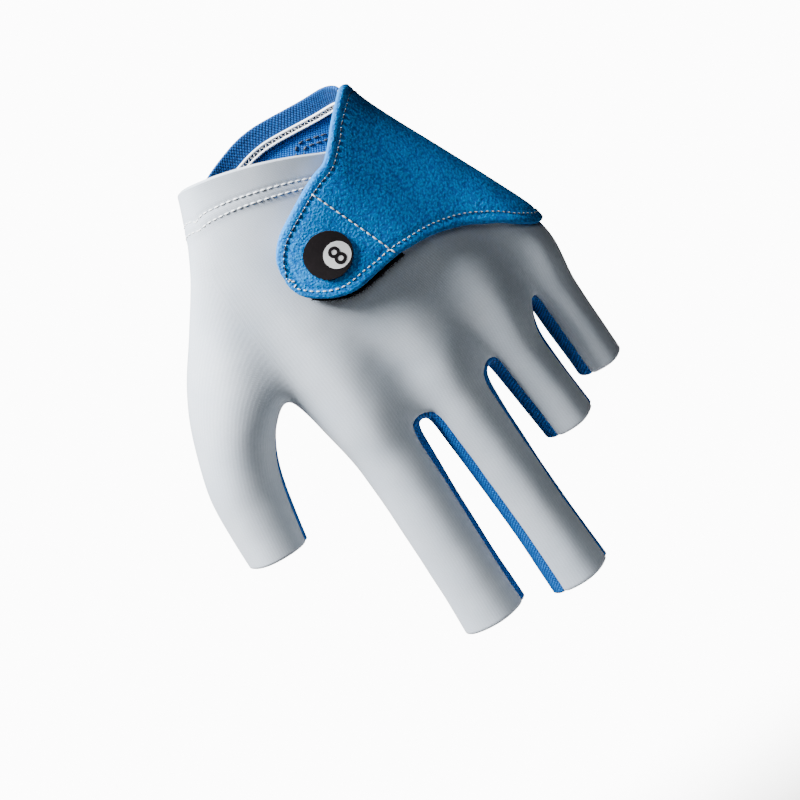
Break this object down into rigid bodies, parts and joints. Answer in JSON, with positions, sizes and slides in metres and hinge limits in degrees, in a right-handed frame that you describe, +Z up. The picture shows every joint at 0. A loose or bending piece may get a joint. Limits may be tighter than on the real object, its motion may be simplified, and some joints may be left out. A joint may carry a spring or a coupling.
{
  "type": "billiard glove",
  "caption": "Open-fingered left-hand billiard glove as worn, with a grey stretch back, blue mesh palm and a blue closing strap round the little-finger side.",
  "frame": {"origin": "the middle of the wrist opening, at the level where the hand goes in", "axes": "+Z up the forearm, so that the fingers point to -Z; -Y out of the back of the hand; -X to the thumb"},
  "size_m": [0.1355, 0.0455, 0.1722],
  "materials": {
    "grey_stretch_fabric": "smooth knit",
    "blue_mesh": "fine mesh",
    "blue_elastic": "woven elastic",
    "blue_suede": "suede",
    "black_pile": "pile",
    "black_print": "satin"
  },
  "bodies": {
    "root": {"back_panel": "grey_stretch_fabric", "palm_panel": "blue_mesh", "fourchette_index_middle": "blue_mesh", "fourchette_middle_ring": "blue_mesh", "fourchette_ring_little": "blue_mesh", "cuff_elastic": "blue_elastic", "strap": "blue_suede", "hook_pad": "black_pile", "loop_pad": "black_pile", "ball_badge": "black_print"}
  },
  "joints": []
}
